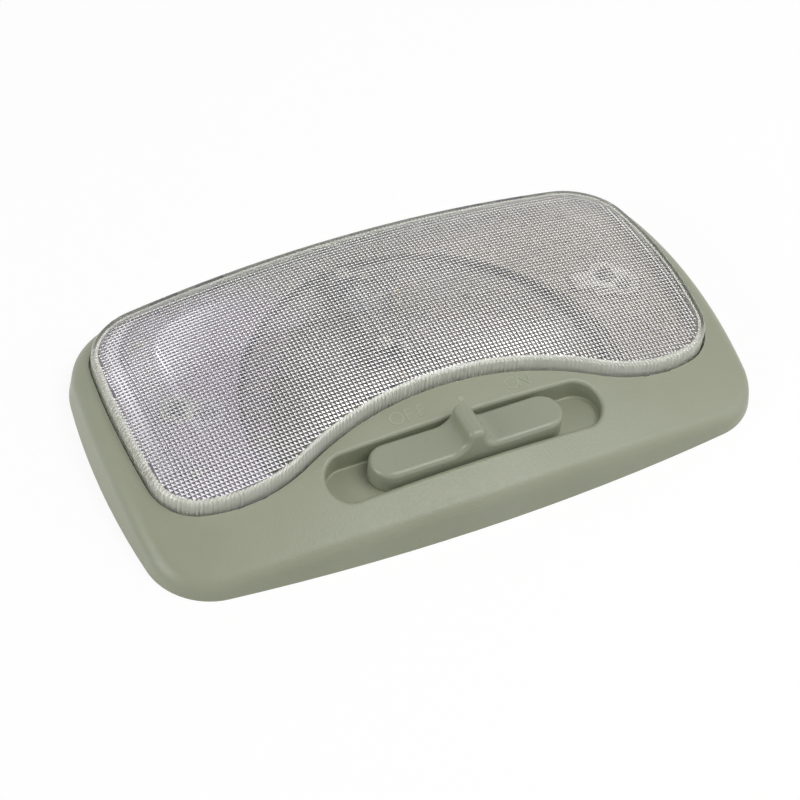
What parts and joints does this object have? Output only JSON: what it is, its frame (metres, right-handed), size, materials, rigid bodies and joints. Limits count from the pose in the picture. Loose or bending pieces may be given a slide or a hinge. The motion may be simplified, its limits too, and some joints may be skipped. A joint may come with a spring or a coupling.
{
  "type": "car dome light",
  "caption": "Car interior dome light with a moulded surround, a clear prismatic lens with a wavy front edge, a slide switch in a trough, and a festoon bulb over a pressed reflector.",
  "frame": {"origin": "middle of the rim that meets the roof lining, on the plane of that rim", "axes": "+Z out of the rim towards the lens, +X along the long side towards the ON mark, -Y towards the switch"},
  "size_m": [0.1596, 0.0898, 0.0217],
  "materials": {
    "sage_moulding": "sage green, fine moulded grain",
    "sage_knob": "sage green, smoother than the surround",
    "clear_lens": "clear, polished outside, prisms inside",
    "reflector_sheet": "bright pressed sheet",
    "earth_strip": "plated strip",
    "bulb_glass": "clear blown glass",
    "bulb_cap": "nickel plated",
    "filament_wire": "drawn wire",
    "back_moulding": "plain moulded",
    "spring_strip": "rolled spring strip",
    "bus_strip": "stamped",
    "carrier_moulding": "plain moulded",
    "socket_moulding": "plain moulded",
    "rivet_metal": "set over"
  },
  "bodies": {
    "housing": {"bezel": "sage_moulding", "lens": "clear_lens", "reflector": "reflector_sheet", "earth_strap": "earth_strip", "bulb_glass": "bulb_glass", "bulb_cap_front": "bulb_cap", "bulb_cap_rear": "bulb_cap", "filament": "filament_wire", "base_plate": "back_moulding", "bulb_clip_front": "spring_strip", "bulb_clip_rear": "spring_strip", "feed_bus": "bus_strip", "lamp_bus": "bus_strip", "door_bus": "bus_strip", "connector_shell": "socket_moulding", "bus_rivets": "rivet_metal", "clip_rivets": "rivet_metal"},
    "slider": {"switch_knob": "sage_knob", "contact_carrier": "carrier_moulding", "wiper_contact": "spring_strip"}
  },
  "joints": [
    {"name": "switch_slide", "type": "slide", "parent": "housing", "child": "slider", "axis": [1, 0, 0], "range_m": [-0.01, 0.01]}
  ]
}
